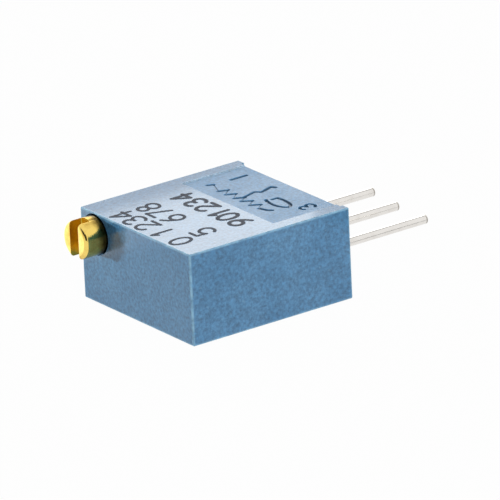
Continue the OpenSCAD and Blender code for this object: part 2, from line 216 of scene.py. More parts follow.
@dataclass(frozen=True)
class MouldedPlastic:
    """Moulded plastic: flow clouds, mottle, pale specks, scuffs, a painted highlight on the outer
    edges, and painted shade in the grooves.

    The outer edges are those of the block between the corners low and high. A pattern's three
    numbers are its features for each millimetre, its octaves and their weight. A level's four
    numbers are the two values that it gives and the two factors at which it gives them.
    """

    low: Point
    high: Point
    name: str = "blue_moulding"
    colour: Colour = (0.045, 0.165, 0.316)
    pale: Colour = (0.068, 0.202, 0.362)
    speck: Colour = (0.17, 0.34, 0.47)
    # Painted highlight: the paler blue that the outer edges are mixed towards, in patches.
    edge_highlight: Colour = (0.30, 0.55, 0.72)
    edge_mm: float = 0.13
    roughness: Flat = (0.15, 0.22)
    clouds: Point = (0.35, 3.0, 0.55)
    stops: Flat = (0.3, 0.7)
    mottle: Point = (6.0, 2.0, 0.6)
    mottle_level: Level = (0.62, 1.38, 0.25, 0.75)
    specks: Point = (3.6, 1.0, 0.4)
    speck_level: Level = (0.0, 0.35, 0.69, 0.82)
    highlight_patches: Point = (1.7, 3.0, 0.6)
    highlight_patch_level: Level = (0.25, 1.0, 0.32, 0.62)
    scuffs: Point = (0.55, 5.0, 0.65)
    scuff_level: Level = (0.0, 1.0, 0.46, 0.70)
    grain_per_mm: float = 14.0
    grain_mm: float = 0.0012
    ripple_per_mm: float = 0.9
    ripple_mm: float = 0.008
    # Painted shade in the grooves: the height under which they darken, the depths below it where the
    # darkening starts and is full, and the darkest share.
    grooves_below: float = -50.0
    groove_fade: Flat = (0.05, 0.005)
    groove_shade: float = 0.42
    refraction: float = 1.6

    def _edge_nearness(self, board: Paint, here: Socket) -> Socket:
        """1 where a point is on an outer edge of the block, falling to 0 a little way from it."""
        depths = []
        for along, low, high in zip(board.axes(here), self.low, self.high):
            from_middle = board.math("ABSOLUTE", board.math("SUBTRACT", along, (low + high) / 2))
            depths.append(board.math("SUBTRACT", (high - low) / 2, from_middle))
        first, second, third = depths
        lesser = board.math("MINIMUM", first, second)
        greater = board.math("MINIMUM", board.math("MAXIMUM", first, second), third)
        return board.level(board.math("MAXIMUM", lesser, greater), 1.0, 0.0, 0.0, self.edge_mm)

    def make(self) -> Material:
        """Builds the material."""
        board = Paint(self.name)
        here = board.place()
        clouds = board.noise(here, *self.clouds)
        body = board.ramp(clouds, self.stops, self.colour, self.pale)
        mottle = board.level(board.noise(here, *self.mottle), *self.mottle_level)
        # Painted shade: the marks' grooves are darkened below the recess floor.
        dark, unshaded = (self.grooves_below - depth for depth in self.groove_fade)
        painted_shade = board.level(board.axes(here)[2], self.groove_shade, 1.0, dark, unshaded)
        shaded = board.shade(body, board.math("MULTIPLY", mottle, painted_shade))
        specks = board.level(board.noise(here, *self.specks), *self.speck_level)
        flecked = board.mix(specks, shaded, self.speck)
        # Painted highlight: the outer edges turn paler, in patches.
        highlight_patches = board.level(board.noise(here, *self.highlight_patches), *self.highlight_patch_level)
        edge = board.math("MULTIPLY", self._edge_nearness(board, here), highlight_patches)
        board.set("Base Color", board.mix(edge, flecked, self.edge_highlight))
        scuffs = board.level(board.noise(here, *self.scuffs), *self.scuff_level)
        board.set("Roughness", board.level(scuffs, *self.roughness, 0.0, 1.0))
        grain = board.noise(here, self.grain_per_mm)
        grain = board.math("MULTIPLY", grain, self.grain_mm / self.ripple_mm)
        ripple = board.noise(here, self.ripple_per_mm)
        board.bump(board.math("ADD", grain, ripple), self.ripple_mm)
        board.set("IOR", self.refraction)
        return board.material


@dataclass(frozen=True)
class TurnedBrass:
    """Brass off the lathe: fine rings round the screw's axis, tarnish, and painted shade that darkens
    it towards the body.
    """

    name: str = "turned_brass"
    colour: Colour = (0.90, 0.66, 0.17)
    tarnish: Colour = (0.62, 0.39, 0.08)
    roughness: Flat = (0.10, 0.22)
    body_x: float = -10.03
    # Painted shade towards the body: where it starts and where it is full along X from the body's face,
    # how ragged its edge is, and its darkest share.
    painted_shade_span: Flat = (-0.34, 0.06)
    painted_shade_spread: float = 0.5
    painted_shade: Point = (2.6, 3.0, 0.6)
    shade: float = 0.14
    stains: Point = (1.6, 4.0, 0.6)
    stops: Flat = (0.42, 0.74)
    rings: Point = (14.0, 2.0, 0.6)
    ring_mm: float = 0.004

    def make(self) -> Material:
        """Builds the material."""
        board = Paint(self.name)
        here = board.place(centre=(0.0, *SCREW_YZ))
        x, y, z = board.axes(here)
        squares = board.math("ADD", board.math("MULTIPLY", y, y), board.math("MULTIPLY", z, z))
        turned = board.add("ShaderNodeCombineXYZ", {"X": x, "Y": board.math("SQRT", squares)})
        rings = board.noise(turned.outputs["Vector"], *self.rings)
        stains = board.noise(here, *self.stains)
        colour = board.ramp(stains, self.stops, self.colour, self.tarnish)
        # Painted shade: the head darkens towards the body, with a ragged edge.
        spread = board.math("MULTIPLY", board.noise(here, *self.painted_shade), self.painted_shade_spread)
        unshaded, dark = (self.body_x + step for step in self.painted_shade_span)
        painted_shade = board.level(board.math("ADD", x, spread), 1.0, self.shade, unshaded, dark)
        board.set("Base Color", board.shade(colour, painted_shade))
        board.set("Roughness", board.level(stains, *self.roughness))
        board.bump(rings, self.ring_mm)
        board.set("Metallic", 1.0)
        return board.material


@dataclass(frozen=True)
class PlainFinish:
    """Two tones in clouds, a gloss that follows them and a fine grain.

    The stops are where the first tone ends and where the second begins. The stretch makes the
    grain denser along an axis, and the clouds as well unless they are round.
    """

    name: str
    colour: Colour
    other: Colour
    roughness: Flat
    metallic: float = 0.0
    specular: float = 0.5
    clouds: Point = (1.5, 3.0, 0.55)
    stops: Flat = (0.35, 0.68)
    grain_per_mm: float = 12.0
    grain_mm: float = 0.003
    stretch: Point = (1.0, 1.0, 1.0)
    round_clouds: bool = False

    def make(self) -> Material:
        """Builds the material."""
        board = Paint(self.name)
        here = board.place(self.stretch)
        clouds = board.noise(board.place() if self.round_clouds else here, *self.clouds)
        board.set("Base Color", board.ramp(clouds, self.stops, self.colour, self.other))
        board.set("Roughness", board.level(clouds, *self.roughness))
        board.bump(board.noise(here, self.grain_per_mm), self.grain_mm)
        board.set("Metallic", self.metallic)
        board.set("Specular IOR Level", self.specular)
        return board.material


INK = PlainFinish(
    "dark_ink", (0.066, 0.072, 0.090), (0.115, 0.128, 0.152), (0.75, 0.90), specular=0.15,
    clouds=(3.4, 4.0, 0.62), stops=(0.38, 0.66), grain_mm=0.004,
)
TIN = PlainFinish(
    "tinned_wire", (0.80, 0.775, 0.74), (0.72, 0.69, 0.65), (0.10, 0.20), 1.0,
    clouds=(2.2, 4.0, 0.6), stops=(0.45, 0.8), grain_per_mm=22.0, grain_mm=0.0012,
    stretch=(0.12, 1.0, 1.0), round_clouds=True,
)
# The sheared tip: greyer bare metal of the cut, and darker still as painted shade of its burr.
SHEARED = replace(
    TIN, name="sheared_wire", colour=(0.46, 0.43, 0.39), other=(0.33, 0.30, 0.27),
    roughness=(0.30, 0.42),
)
RESIN = PlainFinish(
    "cured_resin", (0.030, 0.075, 0.150), (0.045, 0.095, 0.175), (0.12, 0.26),
    clouds=(0.8, 3.0, 0.55), grain_per_mm=5.0, grain_mm=0.006,
)


# --- Mesh work ---


def outward(azimuth: float, elevation: float) -> Vector:
    """The direction that leaves the part at an azimuth and an elevation in degrees."""
    a, e = math.radians(azimuth), math.radians(elevation)
    return Vector((math.sin(a) * math.cos(e), -math.cos(a) * math.cos(e), math.sin(e)))


def show(name: str, data: bpy.types.ID) -> bpy.types.Object:
    """Makes an object of some data and puts it into the scene."""
    thing = bpy.data.objects.new(name, data)
    bpy.context.scene.collection.objects.link(thing)
    return thing


def settle(name: str, bm: Shape) -> bpy.types.Mesh:
    """Makes a mesh of a shape and frees the shape."""
    mesh = bpy.data.meshes.new(name)
    bm.to_mesh(mesh)
    bm.free()
    return mesh


def sheet(name: str, size: Flat) -> bpy.types.Object:
    """Makes a level rectangle at the origin, with its two sides in metres."""
    bm = bmesh.new()
    bmesh.ops.create_grid(bm, x_segments=1, y_segments=1, size=0.5)
    bmesh.ops.scale(bm, vec=(*size, 1.0), verts=bm.verts)
    return show(name, settle(name, bm))


def tint(bm: Shape, material: int) -> None:
    """Gives every face of a shape one material index."""
    for face in bm.faces:
        face.material_index = material


def node_copy(node: str) -> Shape:
    """Copies a solid's mesh in millimetres, joins its triangles and makes flat faces whole."""
    bm = bmesh.new()
    bm.from_mesh(frame["nodes"][node].data)
    bmesh.ops.scale(bm, vec=(1 / MM,) * 3, verts=bm.verts)
    bmesh.ops.remove_doubles(bm, verts=bm.verts, dist=SOLID_WELD)
    bmesh.ops.dissolve_limit(bm, angle_limit=math.radians(FLAT_DEG), verts=bm.verts, edges=bm.edges)
    return bm


def block(low: Sequence[float], high: Sequence[float], material: int = 0) -> Shape:
    """A box between its lowest and its highest corner, with a material index."""
    bm = bmesh.new()
    bmesh.ops.create_cube(bm, size=1.0)
    size = Vector(high) - Vector(low)
    bmesh.ops.scale(bm, vec=size, verts=bm.verts)
    bmesh.ops.translate(bm, vec=Vector(low) + size / 2, verts=bm.verts)
    tint(bm, material)
    return bm


def lathe(profile: Sequence[Flat], axis_yz: Flat, steps: int) -> Shape:
    """Spins a profile round an axis that runs along X.

    Args:
        profile: points of X and radius, which start and end on the axis.
        axis_yz: where the axis passes.
        steps: copies in the full turn.

    Returns:
        The closed solid of revolution.
    """
    bm = bmesh.new()
    verts = [bm.verts.new((x, axis_yz[0] + r, axis_yz[1])) for x, r in profile]
    edges = [bm.edges.new(pair) for pair in zip(verts, verts[1:])]
    bmesh.ops.spin(
        bm, geom=verts + edges, cent=(0.0, *axis_yz), axis=(1, 0, 0), dvec=(0, 0, 0),
        angle=math.tau, steps=steps, use_merge=True, use_duplicate=False,
    )
    bmesh.ops.remove_doubles(bm, verts=bm.verts, dist=FINE_WELD)
    bmesh.ops.recalc_face_normals(bm, faces=bm.faces)
    return bm


def arc(centre: Flat, radius: Flat, first: float, last: float, steps: int) -> tuple[Flat, ...]:
    """Points on a part of an ellipse.

    Args:
        centre: its middle.
        radius: its half sizes along the two directions.
        first: angle of the first point in degrees.
        last: angle of the last point in degrees.
        steps: legs between them.

    Returns:
        The points.
    """
    angles = [math.radians(first + (last - first) * k / steps) for k in range(steps + 1)]
    return tuple(
        (centre[0] + radius[0] * math.cos(a), centre[1] + radius[1] * math.sin(a))
        for a in angles
    )


def merge_in(bm: Shape, other: Shape) -> None:
    """Puts a second shape's faces beside the first one's and frees the second."""
    scrap = settle("scrap", other)
    bm.from_mesh(scrap)
    bpy.data.meshes.remove(scrap)


def work(bm: Shape, tool: Shape, how: Cut) -> Shape:
    """Cuts or joins one shape with another.

    Args:
        bm: the shape that is worked on, which is freed.
        tool: the shape that works on it, which is freed.
        how: what the tool does.

    Returns:
        The result.
    """
    pair = [show("worked", settle("worked", bm)), show("tool", settle("tool", tool))]
    for thing in pair:
        for _ in range(MATERIAL_SLOTS):
            thing.data.materials.append(None)
    modifier = pair[0].modifiers.new("cut", "BOOLEAN")
    modifier.operation = how.value
    modifier.solver = "EXACT"
    modifier.use_self = True
    modifier.object = pair[1]
    bpy.context.view_layer.update()
    seen = pair[0].evaluated_get(bpy.context.evaluated_depsgraph_get())
    result = bmesh.new()
    result.from_mesh(seen.to_mesh())
    seen.to_mesh_clear()
    for thing in pair:
        mesh = thing.data
        bpy.data.objects.remove(thing)
        bpy.data.meshes.remove(mesh)
    bmesh.ops.remove_doubles(result, verts=result.verts, dist=CUT_WELD)
    return result


def soften(bm: Shape, edges: list[bmesh.types.BMEdge], by: float, segments: int = 2) -> None:
    """Rounds some edges of a shape by a width, with a number of faces across it."""
    bmesh.ops.bevel(
        bm, geom=edges, offset=by, offset_type="OFFSET", segments=segments,
        profile=0.5, affect="EDGES", material=-1, clamp_overlap=True,
    )


def uprights(bm: Shape, x: float) -> list[bmesh.types.BMEdge]:
    """The edges of a box that stand along Z at one X."""
    return [
        e for e in bm.edges
        if all(abs(v.co.x - x) < TOUCH for v in e.verts)
        and abs(e.verts[0].co.z - e.verts[1].co.z) > TOUCH
    ]


def close(bm: Shape) -> None:
    """Fills the openings of a shape with faces."""
    bmesh.ops.holes_fill(bm, edges=[e for e in bm.edges if e.is_boundary], sides=0)


@dataclass(frozen=True)
class Placing:
    """Where a finished piece belongs, and the angle from which its edges are sharp."""

    name: str
    body: Body
    slot: str | None
    stands_for: tuple[str, ...] = ()
    sharp_deg: float = 32.0

    def place(self, bm: Shape, materials: Sequence[Material]) -> None:
        """Turns a shape in millimetres into the piece.

        Args:
            bm: the shape, which is freed.
            materials: its materials in the order of the faces' indices.
        """
        bmesh.ops.scale(bm, vec=(MM,) * 3, verts=bm.verts)
        for face in bm.faces:
            face.smooth = True
        for edge in bm.edges:
            if len(edge.link_faces) == 2:
                edge.smooth = edge.calc_face_angle(0.0) < math.radians(self.sharp_deg)
        mesh = settle(self.name, bm)
        for material in materials:
            mesh.materials.append(material)
        piece = show(self.name, mesh)
        # Large faces lead, so that they stay flat beside the narrow faces of a rounding.
        even = piece.modifiers.new("even_normals", "WEIGHTED_NORMAL")
        even.mode = "FACE_AREA"
        even.keep_sharp = True
        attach(piece, self.body.value)
        if self.stands_for:
            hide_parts(*self.stands_for)
        LOG.info("%s: %d faces, rides on %s", self.name, len(mesh.polygons), self.body.value)


# --- Strokes of the marks and of the printing ---


@dataclass(frozen=True)
class Stroke:
    """A line drawn on a level face, as points of X and Y.

    The taper is the share of the width that is left at the bottom of a groove: 1 gives upright
    sides. Dots and legs reach a little deeper one after another, so that no two of their ends
    lie in one plane.
    """

    points: tuple[Flat, ...]
    width: float
    taper: float = 0.6
    dot_sides: int = 14
    dot_step: float = 0.013
    leg_start: float = 1.003
    leg_step: float = 0.0065

    def tool(self, face_z: float, reach: float, material: int) -> Shape:
        """Makes the solid line.

        Args:
            face_z: height of the face that it is drawn on.
            reach: how far it goes below and above the face.
            material: index for its faces.

        Returns:
            A bar with round ends for each leg, overlapping at the corners.
        """
        bm = bmesh.new()
        for k, point in enumerate(self.points):
            dot = bmesh.ops.create_cone(
                bm, cap_ends=True, segments=self.dot_sides, radius1=self.width * self.taper / 2,
                radius2=self.width * (2 - self.taper) / 2, depth=reach * (2 + self.dot_step * k),
            )
            bmesh.ops.translate(bm, vec=(*point, face_z), verts=dot["verts"])
        for k, (start, end) in enumerate(zip(self.points, self.points[1:])):
            self._leg(bm, start, end, face_z, reach * (self.leg_start + self.leg_step * k))
        tint(bm, material)
        return bm

    def _leg(self, bm: Shape, start: Flat, end: Flat, face_z: float, reach: float) -> None:
        """Adds the bar between two points, which reaches below and above the face."""
        dx, dy = end[0] - start[0], end[1] - start[1]
        size = (math.hypot(dx, dy), self.width * (2 - self.taper), reach * 2)
        bar = bmesh.ops.create_cube(bm, size=1.0)["verts"]
        bmesh.ops.scale(bm, vec=size, verts=bar)
        low = [v for v in bar if v.co.z < 0]
        bmesh.ops.scale(bm, vec=(1.0, self.taper / (2 - self.taper), 1.0), verts=low)
        turn = Matrix.Rotation(math.atan2(dy, dx), 3, "Z")
        bmesh.ops.rotate(bm, cent=(0, 0, 0), matrix=turn, verts=bar)
        middle = ((start[0] + end[0]) / 2, (start[1] + end[1]) / 2, face_z)
        bmesh.ops.translate(bm, vec=middle, verts=bar)


# The lines of each digit, in a square whose X runs across it and whose Y runs up.
DIGITS: dict[str, tuple[tuple[Flat, ...], ...]] = {
    "0": (arc((0.5, 0.5), (0.5, 0.5), 0, 360, 18),),
    "1": (((0.22, 0.78), (0.5, 1.0), (0.5, 0.0)),),
    "2": (arc((0.5, 0.70), (0.48, 0.30), 165, -32, 12) + ((0.02, 0.0), (1.0, 0.0)),),
    "3": (
        arc((0.46, 0.75), (0.42, 0.25), 150, -90, 11)
        + arc((0.48, 0.26), (0.52, 0.26), 85, -155, 12),
    ),
    "4": (((0.74, 0.0), (0.74, 1.0), (0.0, 0.32), (1.0, 0.32)),),
    "5": (((0.92, 1.0), (0.16, 1.0), (0.08, 0.54)) + arc((0.48, 0.33), (0.52, 0.33), 140, -150, 13),),
    "6": (((0.82, 1.0), (0.40, 0.80), (0.12, 0.55)) + arc((0.5, 0.31), (0.5, 0.31), 165, 525, 14),),
    "7": (((0.0, 1.0), (1.0, 1.0), (0.34, 0.0)),),
    "8": (arc((0.5, 0.77), (0.40, 0.23), -90, 270, 13), arc((0.5, 0.27), (0.5, 0.27), 90, 450, 14)),
    "9": (((0.18, 0.0), (0.60, 0.20), (0.88, 0.45)) + arc((0.5, 0.69), (0.5, 0.31), -15, 345, 14),),
}


@dataclass(frozen=True)
class Row:
    """A row of digits that stand along Y, with their feet towards the pins.

    Lengths are in millimetres: where each digit starts, how wide it is, and the X of its top and
    of its foot.
    """

    digits: str
    starts: tuple[float, ...]
    width: float
    top_x: float
    foot_x: float
    pen: float

    def _line(self, line: tuple[Flat, ...], start: float) -> tuple[Flat, ...]:
        """Lays a line of a digit, given in the digit's square, into the row at a start."""
        high = self.foot_x - self.top_x - self.pen
        wide = self.width - self.pen
        return tuple(
            (self.foot_x - self.pen / 2 - y * high, start + self.pen / 2 + x * wide)
            for x, y in line
        )

    def strokes(self, taper: float = 0.6) -> list[list[Stroke]]:
        """Gives a list of strokes for each digit."""
        return [
            [Stroke(self._line(line, start), self.pen, taper) for line in DIGITS[digit]]
            for digit, start in zip(self.digits, self.starts)
        ]


# --- The pieces ---


@dataclass
class Housing:
    """The moulded body: a fine copy of its solid with softened edges and moulded-in marks."""

    recess_len: float = 4.2
    recess_rim: float = 0.82
    recess_depth: float = 0.06
    head_bore_r: float = 1.06
    head_bore_to: float = -8.51
    bore_gap: float = 0.006
    sink_gap: float = 0.05
    sink_depth: float = 0.20
    overshoot: float = 0.5
    turn_steps: int = 96
    edge_softness: float = 0.028
    rim_angle: float = 40.0
    wall_ends_x: float = -0.21
    step_slope: float = 0.07
    step_reach: float = 1.5
    side_y: float = 3.0
    floor_normal: float = 0.99
    mark_depth: float = 0.10
    link_depth: float = 0.035
    mark_w: float = 0.24
    link_w: float = 0.08
    number_share: float = 0.75
    wiper_share: float = 0.85
    arrow_share: float = 0.9
    placing: Placing = Placing("housing_body", Body.CASE, "blue_plastic", ("housing",))

    def __post_init__(self) -> None:
        """Reads the solid's corners."""
        self.low, self.high = (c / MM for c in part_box("housing"))
        self.floor_z = self.high.z - self.recess_depth

    def strokes(self) -> list[Stroke]:
        """The marks in the recess: resistor sign, wiper line, turning arrow, pin numbers."""
        peaks = (
            ((-3.31, 2.94), (-3.03, 2.81)), ((-3.42, 1.84), (-2.94, 1.66)),
            ((-3.43, 1.18), (-2.97, 0.93)), ((-3.43, 0.45), (-2.97, 0.17)),
            ((-3.43, -0.17), (-2.96, -0.48)), ((-3.43, -0.92), (-2.96, -1.21)),
            ((-3.36, -1.60), (-3.22, -2.10), (-3.03, -2.28)),
        )
        links = [Stroke((one[-1], two[0]), self.link_w) for one, two in zip(peaks, peaks[1:])]
        turn = arc((-2.12, -1.55), (0.40, 0.92), 128.0, 395.0, 18)
        arrow_w = self.mark_w * self.arrow_share
        numbers = Row("3", (-3.46,), 0.74, -1.94, -0.90, self.mark_w * self.number_share)
        return [
            *(Stroke(peak, self.mark_w) for peak in peaks), *links,
            Stroke(((-0.92, 0.30), (-1.04, 0.52), (-1.33, 0.42), (-1.87, 0.24)), self.mark_w),
            Stroke(((-1.87, 0.24), (-2.12, 0.50), (-3.00, 0.24)), self.mark_w * self.wiper_share),
            Stroke(turn, arrow_w),
            Stroke(((-2.10, -1.02), (-1.78, -1.00), (-1.70, -1.36)), arrow_w),
            Stroke(((-1.93, 2.77), (-0.98, 2.77)), self.mark_w),
            *numbers.strokes()[0],
        ]

    def build(self) -> Shape:
        """Makes the body's shape, with index 1 on the recess's floor and marks, 2 on its step."""
        bm = work(node_copy("housing"), self._bore(), Cut.TAKE_AWAY)
        self._soften_rims(bm)
        self._slope_step(bm)
        self._sort_faces(bm)
        marks = bmesh.new()
        for stroke in self.strokes():
            depth = self.link_depth if stroke.width == self.link_w else self.mark_depth
            merge_in(marks, stroke.tool(self.floor_z, depth, 1))
        return work(bm, marks, Cut.TAKE_AWAY)

    def _bore(self) -> Shape:
        """The round tool that opens the head's bore and sinks its mouth."""
        start = self.low.x - self.overshoot
        mouth = self.low.x + self.sink_depth
        sink_r = self.head_bore_r + self.sink_gap
        bore_r = self.head_bore_r + self.bore_gap
        profile = [
            (start, 0.0), (start, sink_r), (mouth, sink_r), (mouth, bore_r),
            (self.head_bore_to, bore_r), (self.head_bore_to, 0.0),
        ]
        return lathe(profile, SCREW_YZ, self.turn_steps)

    def _soften_rims(self, bm: Shape) -> None:
        """Rounds the recess's rim and the ends of the walls at the pin end."""
        rims = []
        sharp = math.radians(self.rim_angle)
        for edge in bm.edges:
            if len(edge.link_faces) != 2 or edge.calc_face_angle_signed(0.0) < sharp:
                continue
            middle = (edge.verts[0].co + edge.verts[1].co) / 2
            on_print = abs(middle.z - self.high.z) < TOUCH and middle.x > -self.recess_len - TOUCH
            if on_print or middle.x > self.wall_ends_x:
                rims.append(edge)
        soften(bm, rims, self.edge_softness)

    def _slope_step(self, bm: Shape) -> None:
        """Moves the foot of the recess's step inwards on its three sides."""
        foot = [
            v for v in bm.verts
            if abs(v.co.z - self.floor_z) < TOUCH and v.co.x < -TOUCH
            and abs(v.co.y) < self.high.y - self.recess_rim + TOUCH
        ]
        for side in (1, -1):
            wall = [v for v in foot if v.co.y * side > self.side_y]
            bmesh.ops.translate(bm, vec=(0, -side * self.step_slope, 0), verts=wall)
        end = [v for v in foot if v.co.x < -self.recess_len + TOUCH]
        bmesh.ops.translate(bm, vec=(self.step_slope, 0, 0), verts=end)

    def _sort_faces(self, bm: Shape) -> None:
        """Sets the material indices of the recess's floor and of its step."""
        reach = self.step_reach * self.edge_softness
        for face in bm.faces:
            middle = face.calc_center_median()
            if face.normal.z > self.floor_normal and abs(middle.z - self.floor_z) < TOUCH:
                face.material_index = 1
            elif (
                self.floor_z - TOUCH < middle.z < self.high.z - TOUCH
                and abs(middle.y) < self.high.y - self.recess_rim + reach
                and middle.x > -self.recess_len - reach
            ):
                face.material_index = 2

    def dress(self) -> None:
        """Builds and places the body."""
        ends = (tuple(self.low), tuple(self.high))
        smooth = MouldedPlastic(*ends)
        floor = MouldedPlastic(
            *ends, "blue_moulding_dull", (0.050, 0.190, 0.365), (0.072, 0.222, 0.405),
            roughness=(0.42, 0.52), grain_mm=0.003, grooves_below=self.floor_z,
        )
        # The recess's step gets a paler copy of the plastic: painted light on its wall.
        step = MouldedPlastic(*ends, "blue_moulding_step", (0.15, 0.29, 0.43), (0.19, 0.34, 0.48))
        self.placing.place(self.build(), [smooth.make(), floor.make(), step.make()])


@dataclass
class InkMarking:
    """Plain numbers printed on the body: a count, with no name, type or value."""

    thickness: float = 0.008
    sunk: float = 0.02
    pen_reach: float = 0.5
    layer_half: float = 20.0
    taper: float = 1.0
    rows: tuple[Row, ...] = (
        Row("01234", (-3.30, -1.62, -0.36, 0.72, 1.76), 0.96, -9.86, -8.46, 0.18),
        Row("5678", (-3.00, -0.40, 0.74, 1.78), 0.94, -8.24, -6.82, 0.18),
        Row("901234", (-3.12, -2.08, -1.30, -0.26, 0.72, 1.80), 0.94, -6.04, -4.64, 0.22),
    )
    placing: Placing = Placing("printed_numbers", Body.CASE, None)

    def dress(self) -> None:
        """Builds and places the numbers."""
        face_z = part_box("housing")[1].z / MM
        half = self.layer_half
        bm = bmesh.new()
        for row in self.rows:
            for lines in row.strokes(self.taper):
                digit = bmesh.new()
                for line in lines:
                    merge_in(digit, line.tool(face_z, self.pen_reach, 0))
                layer = block((-half, -half, face_z - self.sunk), (half, half, face_z + self.thickness))
                merge_in(bm, work(digit, layer, Cut.KEEP_SHARED))
        self.placing.place(bm, [INK.make()])


@dataclass
class AdjustingScrew:
    """The brass screw: a turned head and journal with a milled slot, and the worm behind them."""

    head_r: float = 1.03
    head_round: float = 0.2
    slot_w: float = 0.75
    slot_depth: float = 0.76
    slot_corner: float = 0.08
    overshoot: float = 1.0
    x_shoulder: float = -8.87
    chamfer: float = 0.03
    journal_r: float = 0.7
    x_boss: float = -7.86
    groove_r: float = 0.45
    x_groove: float = -7.55
    x_collar: float = -7.35
    tip_r: float = 0.35
    worm_from: float = -6.9
    worm_overlap: float = 0.1
    turn_steps: int = 96
    edge_softness: float = 0.022
    placing: Placing = Placing("brass_screw", Body.ADJUSTER, "brass", ("adjusting_screw",), 28.0)

    def __post_init__(self) -> None:
        """Reads where the head ends."""
        self.x_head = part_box("adjusting_screw")[0].x / MM

    def turned_part(self) -> Shape:
        """Makes the head, journal, groove and collar on the lathe."""
        by = self.head_round
        x_tip = self.worm_from + self.worm_overlap
        profile = [
            (self.x_head, 0.0),
            *arc((self.x_head + by, self.head_r - by), (by, by), 180, 90, 9),
            (self.x_shoulder - self.chamfer, self.head_r),
            (self.x_shoulder, self.head_r - self.chamfer),
            (self.x_shoulder, self.journal_r), (self.x_boss, self.journal_r),
            (self.x_boss, self.groove_r), (self.x_groove, self.groove_r),
            (self.x_groove, self.journal_r), (self.x_collar, self.journal_r),
            (self.x_collar, self.tip_r), (x_tip, self.tip_r), (x_tip, 0.0),
        ]
        return lathe(profile, SCREW_YZ, self.turn_steps)

    def cutter(self) -> Shape:
        """Makes the milling tool of the slot, with index 1 and rounded corners."""
        y, z = SCREW_YZ
        x_floor = self.x_head + self.slot_depth
        out = self.overshoot
        tool = block(
            (self.x_head - out, y - self.slot_w / 2, z - 2 * out),
            (x_floor, y + self.slot_w / 2, z + 2 * out), 1,
        )
        soften(tool, uprights(tool, x_floor), self.slot_corner, 3)
        return tool

    def worm(self) -> Shape:
        """Copies the part of the solid behind the collar and closes it."""
        bm = node_copy("adjusting_screw")
        bmesh.ops.bisect_plane(
            bm, geom=bm.verts[:] + bm.edges[:] + bm.faces[:], dist=FINE_WELD,
            plane_co=(self.worm_from, 0, 0), plane_no=(-1, 0, 0), clear_outer=True,
        )
        close(bm)
        return bm

    def build(self) -> Shape:
        """Makes the screw's shape, with index 1 in the milled slot."""
        bm = work(self.turned_part(), self.cutter(), Cut.TAKE_AWAY)
        lips = [
            e for e in bm.edges
            if len(e.link_faces) == 2
            and e.link_faces[0].material_index != e.link_faces[1].material_index
        ]
        soften(bm, lips, self.edge_softness)
        merge_in(bm, self.worm())
        return bm

    def dress(self) -> None:
        """Builds and places the screw."""
        # The slot's brass is a rougher copy for the milled finish, and a darker one as painted shade in
        # the slot.
        milled = TurnedBrass(
            name="milled_brass", colour=(0.80, 0.56, 0.07), tarnish=(0.58, 0.36, 0.04),
            roughness=(0.28, 0.42), ring_mm=0.003,
        )
        self.placing.place(self.build(), [TurnedBrass().make(), milled.make()])


@dataclass
class TerminalPins:
    """Three round tinned wires with cut, rounded tips and flattened ends in the body."""

    tip: float = 0.06
    cut_len: float = 0.11
    coin_w: float = 0.7
    coin_t: float = 0.26
    x_root: float = -0.40
    root_overlap: float = 0.05
    coin_corner: float = 0.15
    turn_steps: int = 40

    def build(self, y: float, low: Vector, high: Vector) -> Shape:
        """Makes the pin at y, whose solid's corners are given, with index 1 on its sheared tip."""
        by = self.tip
        x_cut = high.x - self.cut_len
        profile = [
            (self.x_root, 0.0), (self.x_root, WIRE_R), (x_cut, WIRE_R),
            *arc((high.x - by, WIRE_R - by), (by, by), 90, 0, 6), (high.x, 0.0),
        ]
        bm = lathe(profile, (y, 0.0), self.turn_steps)
        tongue = block(
            (low.x, y - self.coin_w / 2, -self.coin_t / 2),
            (self.x_root + self.root_overlap, y + self.coin_w / 2, self.coin_t / 2),
        )
        soften(tongue, uprights(tongue, low.x), self.coin_corner, 1)
        merge_in(bm, tongue)
        for face in bm.faces:
            face.material_index = int(face.calc_center_median().x > x_cut)
        return bm

    def dress(self) -> None:
        """Builds and places the three pins."""
        metals = [TIN.make(), SHEARED.make()]
        for number, side in ((1, 1), (2, 0), (3, -1)):
            node = f"terminal_pin_{number}"
            low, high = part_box(node)
            placing = Placing(f"wire_pin_{number}", Body.CASE, "tinned_wire", (node,))
            placing.place(self.build(side * PIN_PITCH, low / MM, high / MM), metals)


